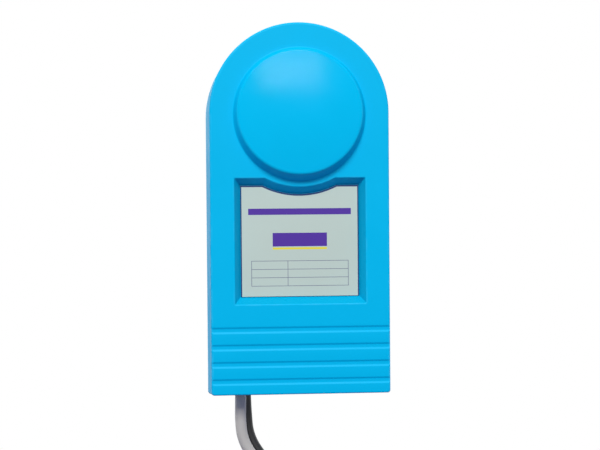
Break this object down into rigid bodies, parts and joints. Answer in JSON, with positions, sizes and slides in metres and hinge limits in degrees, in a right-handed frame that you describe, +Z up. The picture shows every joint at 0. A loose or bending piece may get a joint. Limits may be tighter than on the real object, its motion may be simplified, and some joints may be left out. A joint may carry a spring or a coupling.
{
  "type": "pool equipment power relay box",
  "caption": "Arched wall box with a domed front, a label recess and a grooved foot; an inner relay switches an outlet in its underside, fed by hanging mains leads with plugs.",
  "frame": {"origin": "on the wall plane, midway between the entries of the two keyholes, which is the centre of the housing's arch", "axes": "+Z up, +X to the right as seen from in front, -Y out from the wall through the front face"},
  "size_m": [0.1524, 0.0737, 0.4539],
  "materials": {
    "shell_blue": "satin moulded plastic, bright cyan blue",
    "label_plate": "pale grey-green plate with plain printed bars, satin",
    "black_rubber": "matt",
    "black_plastic": "matt moulded",
    "ivory_plastic": "matt moulded",
    "clear_plastic": "clear",
    "grey_pvc": "soft PVC, satin",
    "black_pvc": "soft PVC, satin",
    "brown_pvc": "wire insulation",
    "blue_pvc": "wire insulation",
    "green_pvc": "wire insulation",
    "zinc_steel": "zinc plated",
    "relay_iron": "nickel plated iron",
    "brass": "bright",
    "copper": "enamelled or bare copper"
  },
  "bodies": {
    "housing": {"front_cover": "shell_blue", "chassis": "shell_blue", "rim_gasket": "black_rubber", "cover_screws": "zinc_steel", "label_plate": "label_plate", "outlet_body": "black_plastic", "outlet_cap": "ivory_plastic", "outlet_active_contact": "brass", "outlet_neutral_contact": "brass", "outlet_earth_contact": "brass", "outlet_screws": "zinc_steel", "supply_lead_grommet": "black_rubber", "timer_lead_grommet": "black_rubber", "supply_lead": "grey_pvc", "supply_lead_coil": "grey_pvc", "supply_lead_tie": "black_plastic", "supply_plug_body": "grey_pvc", "supply_plug_pins": "brass", "timer_lead": "black_pvc", "timer_lead_coil": "black_pvc", "timer_lead_tie": "black_plastic", "piggyback_plug_body": "black_pvc", "piggyback_plug_pins": "brass", "relay_base": "black_plastic", "relay_yoke": "relay_iron", "relay_core": "relay_iron", "relay_bobbin": "ivory_plastic", "relay_winding": "copper", "relay_hinge_pin": "zinc_steel", "relay_return_spring": "zinc_steel", "relay_fixed_contact": "copper", "relay_tabs": "brass", "relay_cover": "clear_plastic", "relay_screws": "zinc_steel", "terminal_block": "ivory_plastic", "terminal_sleeves": "brass", "terminal_screws": "zinc_steel", "block_screws": "zinc_steel", "active_wires": "brown_pvc", "neutral_wires": "blue_pvc", "earth_wires": "green_pvc"},
    "armature": {"relay_armature": "relay_iron", "relay_moving_contact": "copper"}
  },
  "joints": [
    {"name": "relay_armature_hinge", "type": "hinge", "parent": "housing", "child": "armature", "pos_m": [0, -0.04, -0.067], "axis": [-1, 0, 0], "range_deg": [0, 4.8], "stiffness_Nm_per_rad": 0.05, "springref_deg": -11.46, "deforming": ["relay_return_spring"]}
  ]
}
